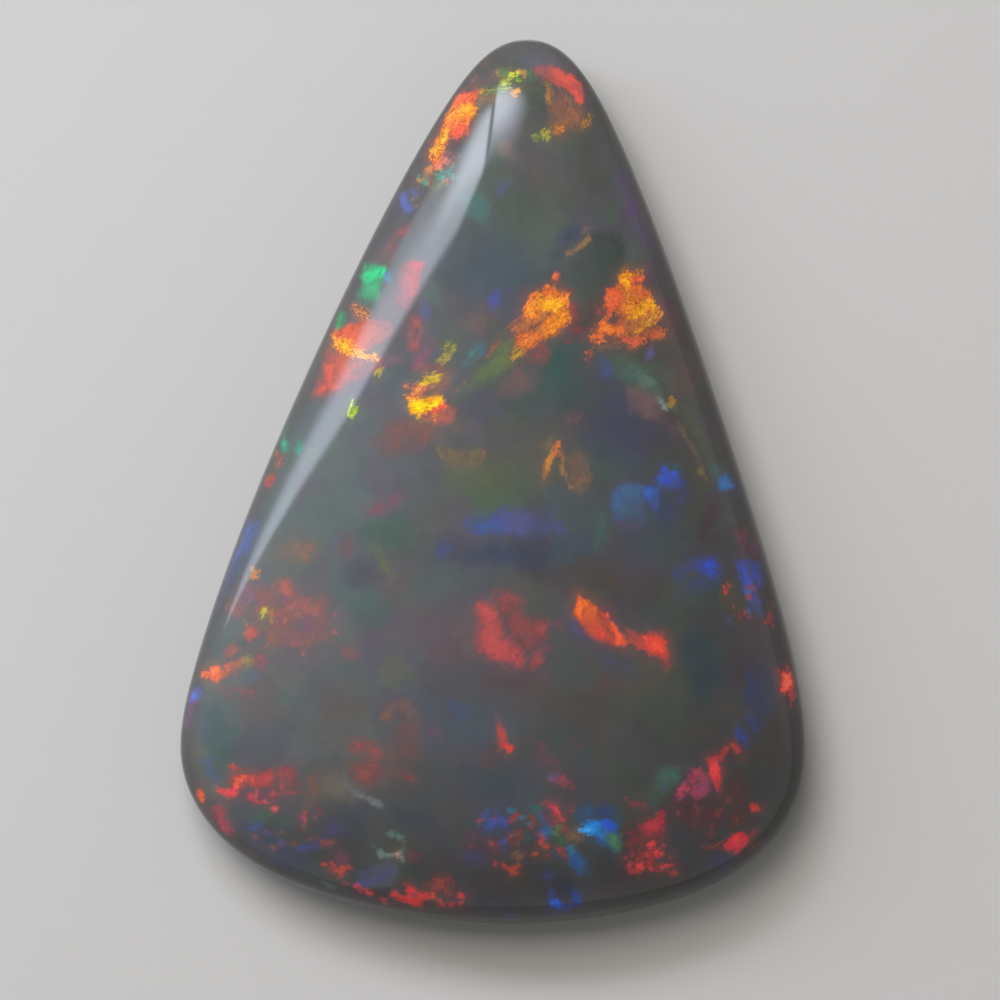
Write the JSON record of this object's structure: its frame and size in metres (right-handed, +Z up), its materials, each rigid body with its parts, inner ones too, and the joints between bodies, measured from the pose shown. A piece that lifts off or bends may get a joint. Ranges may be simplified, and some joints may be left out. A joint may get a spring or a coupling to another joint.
{
  "type": "opal cabochon",
  "caption": "Free-form polished precious opal with a rounded triangular outline, a low dome and a flat ground back, showing play of colour.",
  "frame": {"origin": "under the middle of the stone, on the surface that it lies on", "axes": "+Z up through the dome, +Y from the broad end to the narrow end, +X to the right seen from above"},
  "size_m": [0.0184, 0.026, 0.0046],
  "materials": {
    "opal": "polished"
  },
  "bodies": {
    "root": {"opal": "opal"}
  },
  "joints": []
}
